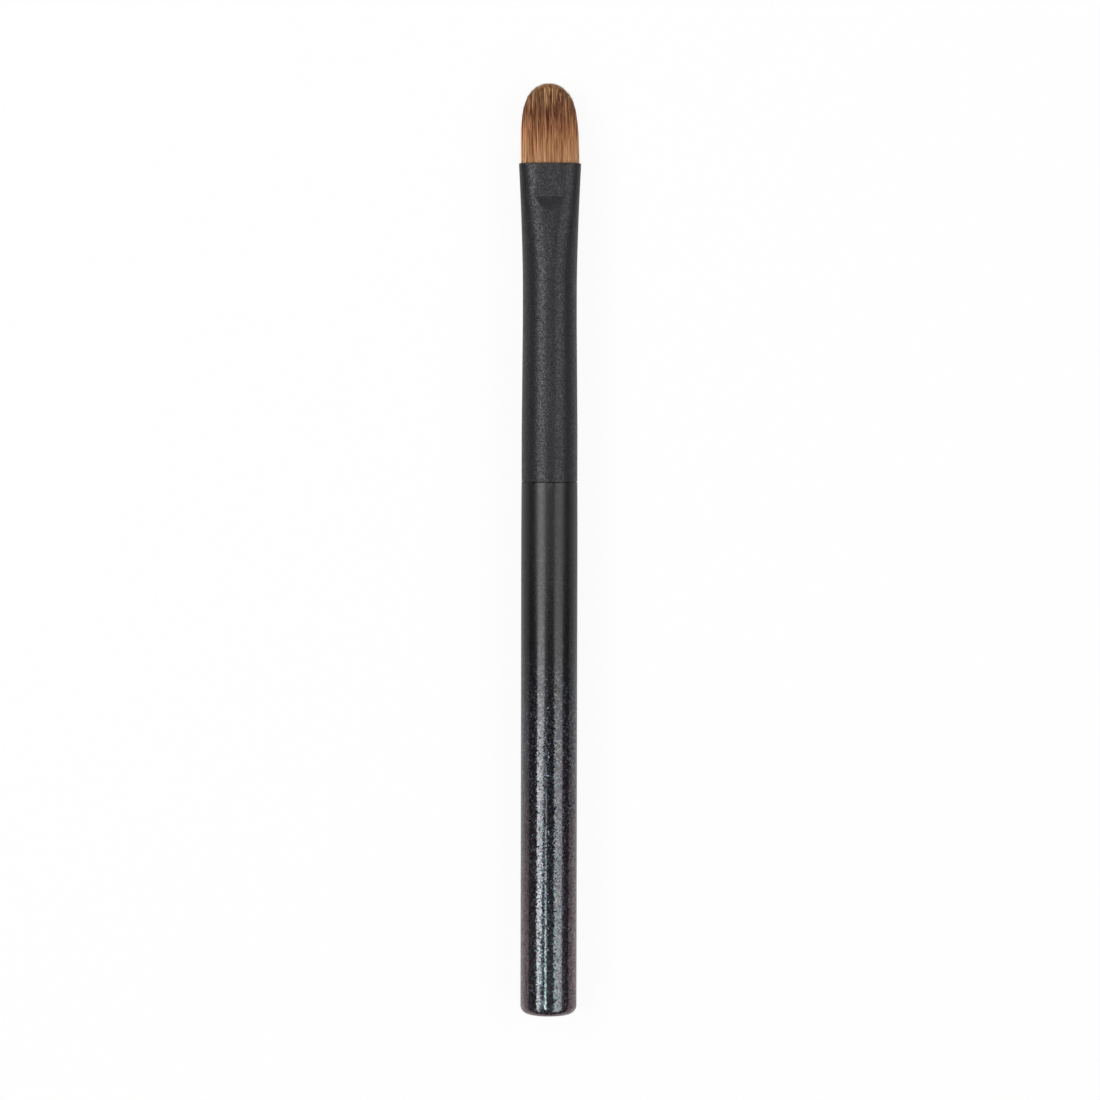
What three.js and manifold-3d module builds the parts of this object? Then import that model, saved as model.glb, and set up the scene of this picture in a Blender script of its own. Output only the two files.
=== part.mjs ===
// Concealer brush: a domed tuft of fine hair, a long metal ferrule pressed flat at its mouth, and a turned
// wooden handle whose tenon is glued inside the ferrule. The hair roots are tied with thread and set in
// resin.
//
// Millimetres. Each piece is built upright, with z along the brush from the butt to the tip and y across
// the flat of the mouth. The last lines lay the brush on its side, tip towards +Y, with +Z up.

import * as THREE from "three";
import { mergeVertices } from "three/addons/utils/BufferGeometryUtils.js";
import Module from "manifold-3d";

const wasm = await Module();
wasm.setup();

// Handle
const HANDLE_DIAMETER = 9.2;
const SEAM_DIAMETER = 9.11; // where the shaft meets the ferrule
const SHOULDER_TAPER = 10.0; // below the shoulder, where the shaft narrows to the seam
const HANDLE_LENGTH = 87.2; // butt to shoulder
const BUTT_EDGE_RADIUS = 1.4;
const SHOULDER_CHAMFER = 0.1;
const TENON_LENGTH = 15.0;
const TENON_NOSE_CHAMFER = 0.8;
const GLUE_GROOVE_COUNT = 3;
const GLUE_GROOVE_WIDTH = 1.2;
const GLUE_GROOVE_DEPTH = 0.35;
const GLUE_FILM = 0.2;

// Ferrule
const FERRULE_LENGTH = 51.65;
const FERRULE_WALL = 0.3;
const FERRULE_EDGE_CHAMFER = 0.1;
const SEAM_GAP = 0.08; // between the handle's shoulder and the ferrule's lower edge
const FOOT_LENGTH = 8.0; // straight lower end of the tube
const WAIST_DRAW = 0.31; // how much narrower the waist is than the foot, across the diameter
const WAIST_HEIGHT = 26.0; // above the ferrule's lower edge
const MOUTH_WIDTH = 10.13;
const MOUTH_THICKNESS = 5.8;
const MOUTH_SQUARENESS = 2.5; // exponent of the mouth's superellipse: 2 is an ellipse
const FLARE_LENGTH = 20.0; // below the mouth, where the tube stops being round
const FLARE_EXPONENT = 1.55;
const FLATTEN_EXPONENT = 3.0; // high values keep the tube round for longer before it flattens
const FLATTEN_RATE = 4.2; // high values reach the mouth's thickness sooner
const CRIMP_LENGTH = 8.0; // the band below the mouth that the flat press jaws mark
const LEDGE_LENGTH = 2.6; // along the brush, the slope at the jaws' lower edge

// Hair
const HAIR_EXPOSED = 13.1;
const ROOT_DEPTH = 17.0; // hair inside the ferrule
const HEEL_RECESS = 1.5; // from the mouth down to the bonded heel, where the hairs part
const HAIR_PITCH = 0.366; // between strands, at the heel
const HAIR_THICKNESS = 0.28;
const HAIR_EMBED = 0.25;
const DOME_LENGTH = 12.0; // from the tip down to where the outline is at full width
const DOME_EXPONENT = 4.0;
const FRONT_DROP = 0.9; // how much lower the hairs of the flat faces end than those between them
const SPLAY = 0.03; // share of its width that the tuft gains just above the mouth
const SIDE_LEAN = 0.04; // share of its width that the tuft loses by the tip
const FACE_LEAN = 0.76; // share of its thickness that the tuft loses by the tip
const FACE_LEAN_EXPONENT = 1.35;

// Thread and resin at the root
const THREAD_DIAMETER = 0.45;
const THREAD_SPACING = 0.5; // clear gap between turns
const THREAD_TURNS = 4;
const NECK_MARGIN = 0.45; // bare neck above and below the winding
const NECK_SHOULDER = 1.4; // height over which the bundle narrows to its tied neck
const RESIN_WALL = 0.45;
const RESIN_FLOOR = 1.5;

const FIT_GAP = 0.08; // clearance between pieces that seat in or on each other

// Smoothness
const SIDES = 48; // facets round the brush
const ARC_STEPS = 6;
const FLARE_STEPS = 9;
const LEDGE_STEPS = 4;
const CRIMP_STEPS = 2;
const THREAD_SIDES = 6;
const THREAD_STEPS = 24; // for each turn
const HAIR_SIDES = 3;
const HAIR_RINGS = [1, 0.95, 0.62]; // thickness along a strand, which ends in a point

const HANDLE_RADIUS = HANDLE_DIAMETER / 2;
const SEAM_RADIUS = SEAM_DIAMETER / 2;
const WAIST_RADIUS = SEAM_RADIUS - WAIST_DRAW / 2;
const FERRULE_BASE_Z = HANDLE_LENGTH + SEAM_GAP;
const MOUTH_Z = FERRULE_BASE_Z + FERRULE_LENGTH;
const TIP_Z = MOUTH_Z + HAIR_EXPOSED;
const HALF_FACET = Math.PI / SIDES;

const material = (color, roughness, metalness) =>
  new THREE.MeshStandardMaterial({ color, roughness, metalness });
const MATT_BLACK_COAT = material(0x303032, 0.6, 0.35);
const PEARL_BLACK_LACQUER = material(0x29282c, 0.35, 0.25);
const BROWN_HAIR = material(0x8b6243, 0.65, 0);
const WAXED_THREAD = material(0xddd3c0, 0.8, 0);
const CLEAR_RESIN = material(0xc8a560, 0.3, 0);
const WOOD_GLUE = material(0xe0d6b8, 0.6, 0);

const between = (low, value, high) => Math.min(high, Math.max(low, value));

// A superellipse section: half-width a along x, half-thickness b along y, squareness n. Two flats cut it
// off at the distance flat from its middle, or leave it whole where flat is equal to b.
function sectionPoint({ a, b, n, flat }, angle) {
  const bend = (value) => Math.sign(value) * Math.abs(value) ** (2 / n);
  return { x: a * bend(Math.cos(angle)), y: between(-flat, b * bend(Math.sin(angle)), flat) };
}

const inset = ({ a, b, n, flat }, depth) => ({ a: a - depth, b: b - depth, n, flat: flat - depth });

const round = (radius) => ({ a: radius, b: radius, n: 2, flat: radius });

// Radius of the round tube at a height above the ferrule's lower edge: a straight foot, then a taper to
// the waist.
function tubeRadius(height) {
  const taper = between(0, (height - FOOT_LENGTH) / (WAIST_HEIGHT - FOOT_LENGTH), 1);
  return THREE.MathUtils.lerp(SEAM_RADIUS, WAIST_RADIUS, taper);
}

// The ferrule's outside section at a depth below the mouth. The width flares steadily up to the mouth,
// while the thickness falls slowly, then fast, then slowly again. Where the jaws closed, two flats cut the
// section off at the mouth's thickness: a sloping ledge bounds each flat below, and the flat fades out
// into the mouth.
function ferruleSection(depth) {
  const radius = tubeRadius(FERRULE_LENGTH - depth);
  const reach = between(0, 1 - depth / FLARE_LENGTH, 1);
  const pressed = 1 - Math.exp(-FLATTEN_RATE * reach ** FLATTEN_EXPONENT);
  const b = THREE.MathUtils.lerp(radius, MOUTH_THICKNESS / 2, pressed);
  const jaws = between(0, (CRIMP_LENGTH - depth) / LEDGE_LENGTH, 1) ** 2;
  return {
    a: THREE.MathUtils.lerp(radius, MOUTH_WIDTH / 2, reach ** FLARE_EXPONENT),
    b,
    n: THREE.MathUtils.lerp(2, MOUTH_SQUARENESS, pressed),
    flat: THREE.MathUtils.lerp(b, MOUTH_THICKNESS / 2, jaws),
  };
}

const boreSection = (depth) => inset(ferruleSection(depth), FERRULE_WALL);

const steps = (from, to, count) =>
  Array.from({ length: count + 1 }, (_, i) => THREE.MathUtils.lerp(from, to, i / count));

// Depths below the mouth where the ferrule's head is sectioned, from the tube's end up through the ledge.
// The last one stops short of the mouth's edge.
const headDepths = [
  ...steps(FLARE_LENGTH, CRIMP_LENGTH, FLARE_STEPS),
  ...steps(CRIMP_LENGTH, CRIMP_LENGTH - LEDGE_LENGTH, LEDGE_STEPS).slice(1),
  ...steps(CRIMP_LENGTH - LEDGE_LENGTH, 0, CRIMP_STEPS).slice(1, -1),
];

// A closed skin over sections stacked as {section, z}, each drawn with the same number of points. The
// stack runs up the outside. Where loop is true it comes back down the inside to its first section, as a
// tube's wall does; otherwise a fan of triangles closes each end.
function skin(levels, loop = false) {
  const points = [];
  const faces = [];
  for (const { section, z } of levels) {
    for (let k = 0; k < SIDES; k++) {
      const { x, y } = sectionPoint(section, (2 * k + 1) * HALF_FACET);
      points.push(x, y, z);
    }
  }
  const spans = loop ? levels.length : levels.length - 1;
  for (let level = 0; level < spans; level++) {
    const low = level * SIDES;
    const high = ((level + 1) % levels.length) * SIDES;
    for (let k = 0; k < SIDES; k++) {
      const next = (k + 1) % SIDES;
      faces.push(low + k, low + next, high + next, low + k, high + next, high + k);
    }
  }
  if (!loop) {
    const last = (levels.length - 1) * SIDES;
    const bottom = points.length / 3;
    points.push(0, 0, levels[0].z, 0, 0, levels.at(-1).z);
    for (let k = 0; k < SIDES; k++) {
      const next = (k + 1) % SIDES;
      faces.push(bottom, next, k, bottom + 1, last + k, last + next);
    }
  }
  return meshGeometry(points, faces);
}

function meshGeometry(points, faces) {
  const geometry = new THREE.BufferGeometry();
  geometry.setAttribute("position", new THREE.Float32BufferAttribute(points, 3));
  geometry.setIndex(faces);
  geometry.computeVertexNormals();
  return geometry;
}

// A solid of revolution about z from a profile of [radius, height] pairs that starts and ends on the axis,
// or closes on itself.
function turned(profile) {
  const outline = profile.map(([radius, height]) => new THREE.Vector2(radius, height));
  const geometry = new THREE.LatheGeometry(outline, SIDES, HALF_FACET);
  return geometry.rotateX(Math.PI / 2);
}

function solidOf(geometry) {
  const bare = geometry.clone();
  bare.deleteAttribute("normal");
  bare.deleteAttribute("uv");
  const merged = mergeVertices(bare);
  return new wasm.Manifold(
    new wasm.Mesh({
      numProp: 3,
      vertProperties: merged.attributes.position.array,
      triVerts: new Uint32Array(merged.index.array),
    }),
  );
}

function geometryOf(solid) {
  const { vertProperties, triVerts } = solid.getMesh();
  return meshGeometry(Array.from(vertProperties), Array.from(triVerts));
}

// Heights above the shoulder of each glue groove's lower edge, evenly spaced along the tenon.
const grooveStarts = Array.from(
  { length: GLUE_GROOVE_COUNT },
  (_, i) => ((i + 1) * TENON_LENGTH) / (GLUE_GROOVE_COUNT + 1) - GLUE_GROOVE_WIDTH / 2,
);

const glueOuterRadius = (height) => tubeRadius(height) - FERRULE_WALL - FIT_GAP;
const glueInnerRadius = (height) => glueOuterRadius(height) - GLUE_FILM;
const tenonRadius = (height) => glueInnerRadius(height) - FIT_GAP;

// The line of the tenon from the shoulder up, with its grooves, as [radius, height above the shoulder].
// The glue that covers it follows the same line, so its inside is this line with another surface radius.
function groovedLine(surfaceRadius) {
  const line = [];
  for (const start of grooveStarts) {
    const end = start + GLUE_GROOVE_WIDTH;
    line.push([surfaceRadius(start), start]);
    line.push([surfaceRadius(start) - GLUE_GROOVE_DEPTH, start + GLUE_GROOVE_DEPTH]);
    line.push([surfaceRadius(end) - GLUE_GROOVE_DEPTH, end - GLUE_GROOVE_DEPTH]);
    line.push([surfaceRadius(end), end]);
  }
  return line;
}

// Turned handle: flat butt with a rounded edge, straight shaft that narrows a little to a square shoulder,
// and a grooved tenon.
function handleGeometry() {
  const butt = steps(-Math.PI / 2, 0, ARC_STEPS).map((angle) => [
    HANDLE_RADIUS - BUTT_EDGE_RADIUS + BUTT_EDGE_RADIUS * Math.cos(angle),
    BUTT_EDGE_RADIUS + BUTT_EDGE_RADIUS * Math.sin(angle),
  ]);
  const raised = ([radius, height]) => [radius, HANDLE_LENGTH + height];
  return turned([
    [0, 0],
    ...butt,
    [HANDLE_RADIUS, HANDLE_LENGTH - SHOULDER_TAPER],
    [SEAM_RADIUS, HANDLE_LENGTH - SHOULDER_CHAMFER],
    [SEAM_RADIUS - SHOULDER_CHAMFER, HANDLE_LENGTH],
    raised([tenonRadius(0), 0]),
    ...groovedLine(tenonRadius).map(raised),
    raised([tenonRadius(TENON_LENGTH), TENON_LENGTH - TENON_NOSE_CHAMFER]),
    raised([tenonRadius(TENON_LENGTH) - TENON_NOSE_CHAMFER, TENON_LENGTH]),
    raised([0, TENON_LENGTH]),
  ]);
}

// Set glue: a thin sleeve between tenon and ferrule, with a rib in each groove. Heights are above the
// shoulder.
function tenonGlueGeometry() {
  const foot = SEAM_GAP + FIT_GAP;
  const top = TENON_LENGTH - TENON_NOSE_CHAMFER;
  const ribs = groovedLine(glueInnerRadius).reverse();
  return turned([
    [glueOuterRadius(foot), foot],
    [glueOuterRadius(top), top],
    [glueInnerRadius(top), top],
    ...ribs,
    [glueInnerRadius(foot), foot],
    [glueOuterRadius(foot), foot],
  ]);
}

// Drawn tube, open at both ends: round and straight at the handle, waisted, and pressed flat at the mouth.
// Its lower edge is at z = 0.
function ferruleGeometry() {
  const depths = [FERRULE_LENGTH - FOOT_LENGTH, FERRULE_LENGTH - WAIST_HEIGHT, ...headDepths];
  const outside = [FERRULE_LENGTH - FERRULE_EDGE_CHAMFER, ...depths, FERRULE_EDGE_CHAMFER].map((depth) => ({
    section: ferruleSection(depth),
    z: FERRULE_LENGTH - depth,
  }));
  const inside = [0, ...depths.toReversed(), FERRULE_LENGTH].map((depth) => ({
    section: boreSection(depth),
    z: FERRULE_LENGTH - depth,
  }));
  const lowerEdge = { section: inset(ferruleSection(FERRULE_LENGTH), FERRULE_EDGE_CHAMFER), z: 0 };
  const upperEdge = { section: inset(ferruleSection(0), FERRULE_EDGE_CHAMFER), z: FERRULE_LENGTH };
  return skin([lowerEdge, ...outside, upperEdge, ...inside], true);
}

// The tied neck of the hair bundle. Depths are below the mouth.
const windingLength = THREAD_TURNS * (THREAD_DIAMETER + THREAD_SPACING) + THREAD_DIAMETER;
const neckTopDepth = ROOT_DEPTH - windingLength - 2 * NECK_MARGIN;
const resinCavityRadius = boreSection(neckTopDepth).b - FIT_GAP - RESIN_WALL;
const threadPathRadius = resinCavityRadius - FIT_GAP - THREAD_DIAMETER / 2;
const neckRadius = threadPathRadius - THREAD_DIAMETER / 2 - FIT_GAP;

// The bonded heel that the hairs stand on: it fills the bore below the mouth and narrows to the tied neck.
function heelGeometry() {
  const shoulderDepth = neckTopDepth - NECK_SHOULDER;
  const filled = headDepths.filter((depth) => depth < shoulderDepth && depth > HEEL_RECESS);
  const filling = [shoulderDepth, ...filled, HEEL_RECESS].map((depth) => ({
    section: inset(boreSection(depth), FIT_GAP),
    z: -depth,
  }));
  return skin([
    { section: round(neckRadius), z: -ROOT_DEPTH },
    { section: round(neckRadius), z: -neckTopDepth },
    ...filling,
  ]);
}

// Where each strand stands on the heel, as shares of the heel's half-width and half-thickness: a triangular
// lattice that keeps whole strands inside the section.
function strandPlaces(section) {
  const room = inset(section, HAIR_THICKNESS / 2);
  const rowPitch = HAIR_PITCH * Math.sqrt(0.75);
  const rows = Math.floor(room.flat / rowPitch);
  const places = [];
  for (let row = -rows; row <= rows; row++) {
    const y = row * rowPitch;
    const shift = row % 2 ? HAIR_PITCH / 2 : 0;
    const columns = Math.ceil(room.a / HAIR_PITCH);
    for (let column = -columns; column <= columns; column++) {
      const x = column * HAIR_PITCH + shift;
      if (Math.abs(x / room.a) ** room.n + Math.abs(y / room.b) ** room.n < 1) {
        places.push({ across: x / section.a, through: y / section.b });
      }
    }
  }
  return places;
}

// Height of a strand's tip above the mouth: the outline is a round dome, and the two flat faces end lower.
function tipHeight({ across, through }) {
  const dome = DOME_LENGTH * (1 - (1 - across * across) ** (1 / DOME_EXPONENT));
  return HAIR_EXPOSED - dome - FRONT_DROP * through * through;
}

// A point of a strand at a height above the mouth. Hairs rise straight off the heel, spread a little where
// the mouth lets them go, and lean together further up.
function strandPoint({ across, through }, section, height) {
  const rise = between(0, height / HAIR_EXPOSED, 1);
  const spread = SPLAY * between(0, height / HEEL_RECESS, 1) - SIDE_LEAN * rise;
  const x = across * section.a * (1 + spread);
  const y = through * section.b * (1 - FACE_LEAN * rise ** FACE_LEAN_EXPONENT);
  return new THREE.Vector3(x, y, height);
}

// All the strands as closed, pointed prisms that don't cross, in one geometry.
function strandsGeometry(section) {
  const points = [];
  const faces = [];
  const corners = steps(0, 2 * Math.PI, HAIR_SIDES).slice(0, -1);
  for (const place of strandPlaces(section)) {
    const foot = -HEEL_RECESS - HAIR_EMBED;
    const tip = tipHeight(place);
    const first = points.length / 3;
    HAIR_RINGS.forEach((thickness, ring) => {
      const height = THREE.MathUtils.lerp(foot, tip, ring / HAIR_RINGS.length);
      const { x, y, z } = strandPoint(place, section, height);
      const radius = (thickness * HAIR_THICKNESS) / 2;
      for (const angle of corners) {
        points.push(x + radius * Math.cos(angle), y + radius * Math.sin(angle), z);
      }
    });
    points.push(...strandPoint(place, section, tip).toArray());
    const point = first + HAIR_RINGS.length * HAIR_SIDES;
    for (let ring = 0; ring < HAIR_RINGS.length; ring++) {
      const low = first + ring * HAIR_SIDES;
      for (let k = 0; k < HAIR_SIDES; k++) {
        const next = (k + 1) % HAIR_SIDES;
        if (ring === HAIR_RINGS.length - 1) {
          faces.push(low + k, low + next, point);
        } else {
          const high = low + HAIR_SIDES;
          faces.push(low + k, low + next, high + next, low + k, high + next, high + k);
        }
      }
    }
    for (let k = 1; k < HAIR_SIDES - 1; k++) {
      faces.push(first, first + k + 1, first + k);
    }
  }
  return meshGeometry(points, faces);
}

// Hair tuft: every strand fused to the bonded heel.
function hairGeometry() {
  const standing = inset(boreSection(HEEL_RECESS), FIT_GAP);
  return geometryOf(solidOf(heelGeometry()).add(solidOf(strandsGeometry(standing))));
}

// The winding's centre line: a helix down the neck, with straight ends one thread diameter long.
class WindingCurve extends THREE.Curve {
  constructor() {
    super();
    this.turnLength = 2 * Math.PI * threadPathRadius;
    this.length = THREAD_TURNS * this.turnLength + 2 * THREAD_DIAMETER;
    this.top = -neckTopDepth - NECK_MARGIN - THREAD_DIAMETER / 2;
  }

  getPoint(t, target = new THREE.Vector3()) {
    const along = t * this.length - THREAD_DIAMETER;
    const wound = between(0, along, THREAD_TURNS * this.turnLength);
    const angle = wound / threadPathRadius;
    const drop = (wound / this.turnLength) * (THREAD_DIAMETER + THREAD_SPACING);
    const free = along - wound;
    return target.set(
      threadPathRadius * Math.cos(angle) - free * Math.sin(angle),
      threadPathRadius * Math.sin(angle) + free * Math.cos(angle),
      this.top - drop,
    );
  }
}

// The least clear distance between parts of a tube that are over half a turn apart along it.
function leastGapToItself(curve, count, diameter) {
  const line = curve.getPoints(count);
  const apart = THREAD_STEPS / 2;
  let least = Infinity;
  for (let i = 0; i < line.length; i++) {
    for (let j = i + apart; j < line.length; j++) {
      least = Math.min(least, line[i].distanceTo(line[j]));
    }
  }
  return least - diameter;
}

// Binding thread: one unbroken tube wound round the neck.
function threadGeometry() {
  const curve = new WindingCurve();
  const count = THREAD_TURNS * THREAD_STEPS;
  const corners = steps(0, 2 * Math.PI, THREAD_SIDES).slice(0, -1);
  const circle = corners.map(
    (angle) => new THREE.Vector2(Math.cos(angle), Math.sin(angle)).multiplyScalar(THREAD_DIAMETER / 2),
  );
  const gap = leastGapToItself(curve, count, THREAD_DIAMETER);
  console.log(`binding_thread: least gap to itself ${gap.toFixed(2)} mm`);
  return new THREE.ExtrudeGeometry(new THREE.Shape(circle), {
    steps: count,
    extrudePath: curve,
    bevelEnabled: false,
  });
}

// Resin plug: a cup cast in the bore, round the tied neck and under it.
function resinGeometry() {
  const floorDepth = ROOT_DEPTH + FIT_GAP;
  const outside = [floorDepth + RESIN_FLOOR, floorDepth, neckTopDepth];
  const wall = outside.map((depth) => ({ section: inset(boreSection(depth), FIT_GAP), z: -depth }));
  const cavity = [neckTopDepth, floorDepth].map((depth) => ({
    section: round(resinCavityRadius),
    z: -depth,
  }));
  return skin([...wall, ...cavity]);
}

function piece(name, geometry, finish) {
  const mesh = new THREE.Mesh(geometry, finish);
  mesh.name = name;
  return mesh;
}

// The handle end stands on the butt, the ferrule on the seam, and the head's pieces are placed from the
// mouth.
const handleEnd = new THREE.Group();
const tenonGlue = piece("tenon_glue", tenonGlueGeometry(), WOOD_GLUE);
tenonGlue.position.z = HANDLE_LENGTH;
handleEnd.add(piece("handle", handleGeometry(), PEARL_BLACK_LACQUER), tenonGlue);

const ferrule = piece("ferrule", ferruleGeometry(), MATT_BLACK_COAT);
ferrule.position.z = FERRULE_BASE_Z;

const head = new THREE.Group();
head.position.z = MOUTH_Z;
head.add(
  piece("hair_tuft", hairGeometry(), BROWN_HAIR),
  piece("binding_thread", threadGeometry(), WAXED_THREAD),
  piece("root_resin", resinGeometry(), CLEAR_RESIN),
);

// Laid on its side: the brush rests on a facet of the handle, with the middle of its length over the
// origin.
const upright = new THREE.Group();
upright.add(handleEnd, ferrule, head);
upright.rotation.x = -Math.PI / 2;
upright.position.set(0, -TIP_Z / 2, HANDLE_RADIUS * Math.cos(HALF_FACET));

const brush = new THREE.Group();
brush.add(upright);

export default brush;
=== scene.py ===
# %% [markdown]
# A concealer brush lies on a white table, seen from above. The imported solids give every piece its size
# and place. This notebook makes what the solids only hint at: the press mark and fine grain of the
# ferrule, the glitter that gathers in the handle's lacquer towards the butt, and thousands of single
# hairs in the tuft.

import math

import bpy
import numpy as np
from mathutils import Matrix, Vector


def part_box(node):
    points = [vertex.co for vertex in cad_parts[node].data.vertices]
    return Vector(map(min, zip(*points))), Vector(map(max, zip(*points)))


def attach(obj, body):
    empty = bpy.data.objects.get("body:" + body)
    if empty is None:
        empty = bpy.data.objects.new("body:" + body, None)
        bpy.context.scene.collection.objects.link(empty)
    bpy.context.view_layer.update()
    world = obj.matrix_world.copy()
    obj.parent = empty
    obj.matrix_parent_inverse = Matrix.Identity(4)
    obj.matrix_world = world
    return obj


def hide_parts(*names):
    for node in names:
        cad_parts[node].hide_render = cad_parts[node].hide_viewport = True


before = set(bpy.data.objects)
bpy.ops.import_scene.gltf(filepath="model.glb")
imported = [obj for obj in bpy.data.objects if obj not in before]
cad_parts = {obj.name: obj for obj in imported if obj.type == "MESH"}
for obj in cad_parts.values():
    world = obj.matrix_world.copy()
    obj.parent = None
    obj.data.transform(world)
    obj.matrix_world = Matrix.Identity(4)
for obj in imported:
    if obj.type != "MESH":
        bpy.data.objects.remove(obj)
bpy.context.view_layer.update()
scene = bpy.context.scene
scene.view_settings.view_transform = "Standard"
print("solids:", ", ".join(sorted(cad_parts)))

# %% [markdown]
# Everything is placed along the brush's own axis, which runs along Y from the butt to the tip. The ends
# come from the solids' boxes. The other sizes are those of the real pieces, written in millimetres and
# turned to metres.

# %% Places along the brush
MM = 0.001
butt_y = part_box("handle")[0][1]
tenon_top_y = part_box("handle")[1][1]
ferrule_foot_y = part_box("ferrule")[0][1]
mouth_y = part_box("ferrule")[1][1]
tip_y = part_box("hair_tuft")[1][1]
axis_z = (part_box("handle")[0][2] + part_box("handle")[1][2]) / 2
ferrule_length = mouth_y - ferrule_foot_y
hair_length = tip_y - mouth_y
print(f"butt {butt_y:.5f}  seam {ferrule_foot_y:.5f}  mouth {mouth_y:.5f}  tip {tip_y:.5f}")
print(f"axis {axis_z:.5f} over the table")

# %% [markdown]
# The photographer stands over the ferrule and aims at the middle of the brush, so the camera leans back a
# little. That lean is why the mouth's edge bows towards the tip and the butt shows its lower rim. A long
# lens far away keeps the brush's sides almost parallel. The camera's own axes are worked out here,
# because the same axes tell where a point lands in the picture.

# %% Camera
PICTURE_PIXELS = 1100
LENS = 125.0
SENSOR_WIDTH = 36.0
CAMERA_ASIDE = 0.26 * MM
CAMERA_ALONG = 26.93 * MM
CAMERA_HEIGHT = 622.8 * MM
AIM_ASIDE = 0.11 * MM
AIM_ALONG = 0.06 * MM
CAMERA_ROLL = math.radians(0.114)

camera_data = bpy.data.cameras.new("camera")
camera_data.sensor_width = SENSOR_WIDTH
camera_data.lens = LENS
camera_data.clip_start = 0.01
camera_data.clip_end = 20.0
camera = bpy.data.objects.new("camera", camera_data)
scene.collection.objects.link(camera)
scene.camera = camera

eye = Vector((CAMERA_ASIDE, CAMERA_ALONG, axis_z + CAMERA_HEIGHT))
aim = Vector((AIM_ASIDE, AIM_ALONG, axis_z))
forward = (aim - eye).normalized()
right = forward.cross(Vector((0, 1, 0))).normalized()
up = right.cross(forward)
right_rolled = right * math.cos(CAMERA_ROLL) + up * math.sin(CAMERA_ROLL)
up_rolled = up * math.cos(CAMERA_ROLL) - right * math.sin(CAMERA_ROLL)
turned = Matrix((right_rolled, up_rolled, -forward)).transposed().to_4x4()
camera.matrix_world = Matrix.Translation(eye) @ turned


def picture_pixel(point):
    """Where a point lands in the picture: its offset across and up the view, over its depth, times the
    lens's length in pixels, counted from the middle."""
    offset = Vector(point) - eye
    scale = LENS / SENSOR_WIDTH * PICTURE_PIXELS / offset.dot(forward)
    middle = PICTURE_PIXELS / 2
    return middle + offset.dot(right_rolled) * scale, middle - offset.dot(up_rolled) * scale


for place, y in (("tip", tip_y), ("mouth", mouth_y), ("seam", ferrule_foot_y), ("butt", butt_y)):
    print(place, "at pixel (%.1f, %.1f)" % picture_pixel((0, y, axis_z)))

# %% [markdown]
# A new piece is a mesh whose points and faces come from whole arrays. Adding faces one by one would be
# slow, so one helper hands the arrays to Blender in a few calls. The other puts the mesh into the brush's
# rigid body, with the object itself at the frame's origin.

# %% New meshes and pieces


def new_mesh(name, points, corners, sizes):
    """A smooth-shaded mesh from an array of points, the faces' corner indices one after another, and the
    number of corners of each face."""
    mesh = bpy.data.meshes.new(name)
    mesh.vertices.add(len(points))
    mesh.vertices.foreach_set("co", points.ravel().astype(np.float32))
    mesh.loops.add(len(corners))
    mesh.loops.foreach_set("vertex_index", corners.astype(np.int32))
    mesh.polygons.add(len(sizes))
    starts = np.concatenate([[0], np.cumsum(sizes)[:-1]])
    mesh.polygons.foreach_set("loop_start", starts.astype(np.int32))
    mesh.update(calc_edges=True)
    mesh.validate()
    mesh.polygons.foreach_set("use_smooth", np.ones(len(mesh.polygons), dtype=bool))
    return mesh


def add_piece(name, mesh):
    """An object for the mesh, on the brush's one rigid body."""
    piece = bpy.data.objects.new(name, mesh)
    scene.collection.objects.link(piece)
    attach(piece, "root")
    print(f"{name}: {sum(len(face.vertices) - 2 for face in mesh.polygons)} triangles")
    return piece


# %% [markdown]
# Both rigid pieces are skins over a stack of closed sections. A skin is a grid with one row for each
# section and one column for each angle. Where the stack ends on the axis, the row shrinks to a single
# point, the pole, and a fan of triangles closes it. The grid's own columns and rows are also its UV map.

# %% A skin over closed sections
COLUMNS = 160
SHARP_ANGLE = math.radians(32)
POLE_STEP = 0.002


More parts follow.
